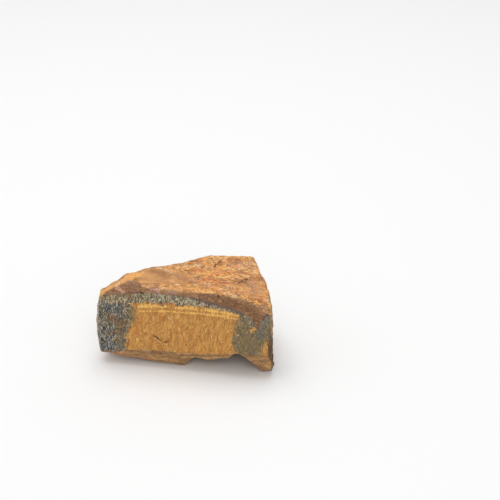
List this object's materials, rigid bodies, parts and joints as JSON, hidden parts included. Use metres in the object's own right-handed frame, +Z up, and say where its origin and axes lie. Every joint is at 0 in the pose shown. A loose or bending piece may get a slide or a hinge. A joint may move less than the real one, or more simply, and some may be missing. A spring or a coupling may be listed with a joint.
{
  "type": "rough mineral specimen",
  "caption": "Rough chunk of tiger's eye: a wedge of fibrous golden and blue-grey quartz with a brown iron-stained crust on top, resting on its broken base.",
  "frame": {"origin": "on the surface that the stone rests on, under the middle of its bounding box", "axes": "+X along the upright fibrous face, to the right as that face is looked at; +Y from that face into the stone; +Z up"},
  "size_m": [0.0758, 0.045, 0.038],
  "materials": {
    "rough_stone": "rough broken faces with a silky fibrous sheen"
  },
  "bodies": {
    "root": {"rough_tigers_eye": "rough_stone"}
  },
  "joints": []
}
